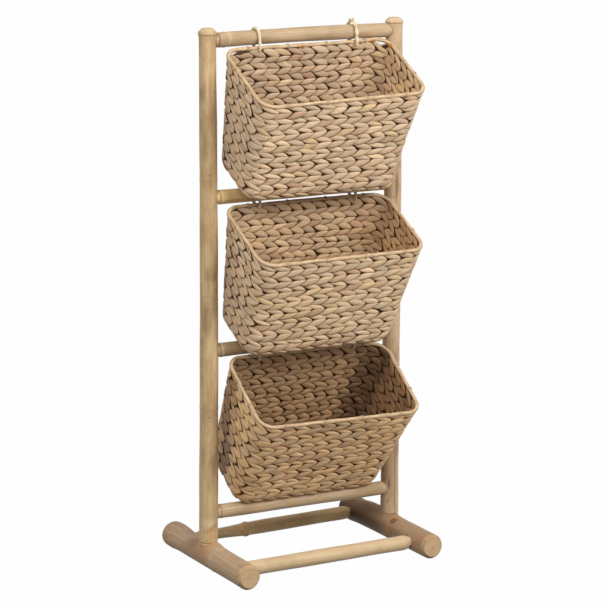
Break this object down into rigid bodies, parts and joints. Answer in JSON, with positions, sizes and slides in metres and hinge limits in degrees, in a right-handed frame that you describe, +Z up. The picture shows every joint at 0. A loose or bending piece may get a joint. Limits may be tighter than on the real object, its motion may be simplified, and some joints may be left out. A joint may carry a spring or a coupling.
{
  "type": "hanging basket stand",
  "caption": "Free-standing bamboo ladder rack with woven baskets hung from its rails by cord loops, for bathroom storage.",
  "frame": {"origin": "centre of the footprint, on the floor", "axes": "+X to the right as seen from the front, +Y to the back, +Z up"},
  "size_m": [0.3974, 0.2918, 0.9058],
  "materials": {
    "bamboo": "satin",
    "dark_bamboo": "satin",
    "woven_leaf": "matte woven leaf",
    "cane": "satin",
    "cord": "matte",
    "steel": "plain"
  },
  "bodies": {
    "stand": {"left_foot": "dark_bamboo", "right_foot": "dark_bamboo", "left_post": "bamboo", "right_post": "bamboo", "top_rail": "bamboo", "upper_rail": "bamboo", "lower_rail": "bamboo", "bottom_rail": "bamboo", "front_stretcher": "bamboo", "rear_stretcher": "bamboo", "rail_nails": "steel", "stretcher_nails": "steel", "foot_screws": "steel"},
    "top_loops": {"top_left_loop": "cord", "top_right_loop": "cord"},
    "top_basket": {"top_basket_weave": "woven_leaf", "top_basket_rim": "cane", "top_basket_lashings": "cord"},
    "middle_loops": {"middle_left_loop": "cord", "middle_right_loop": "cord"},
    "middle_basket": {"middle_basket_weave": "woven_leaf", "middle_basket_rim": "cane", "middle_basket_lashings": "cord"},
    "bottom_loops": {"bottom_left_loop": "cord", "bottom_right_loop": "cord"},
    "bottom_basket": {"bottom_basket_weave": "woven_leaf", "bottom_basket_rim": "cane", "bottom_basket_lashings": "cord"}
  },
  "joints": [
    {"name": "top_slide", "type": "slide", "parent": "stand", "child": "top_loops", "axis": [1, 0, 0], "range_m": [-0.01, 0.004]},
    {"name": "top_swing", "type": "hinge", "parent": "top_loops", "child": "top_basket", "pos_m": [0.003, -0.00556, 0.87082], "axis": [-1, 0, 0], "range_deg": [0, 80]},
    {"name": "middle_slide", "type": "slide", "parent": "stand", "child": "middle_loops", "axis": [1, 0, 0], "range_m": [-0.01, 0.004]},
    {"name": "middle_swing", "type": "hinge", "parent": "middle_loops", "child": "middle_basket", "pos_m": [0.003, -0.00556, 0.61273], "axis": [-1, 0, 0], "range_deg": [0, 65]},
    {"name": "bottom_slide", "type": "slide", "parent": "stand", "child": "bottom_loops", "axis": [1, 0, 0], "range_m": [-0.01, 0.004]},
    {"name": "bottom_swing", "type": "hinge", "parent": "bottom_loops", "child": "bottom_basket", "pos_m": [0.003, -0.00556, 0.35644], "axis": [-1, 0, 0], "range_deg": [-10, 75]}
  ]
}
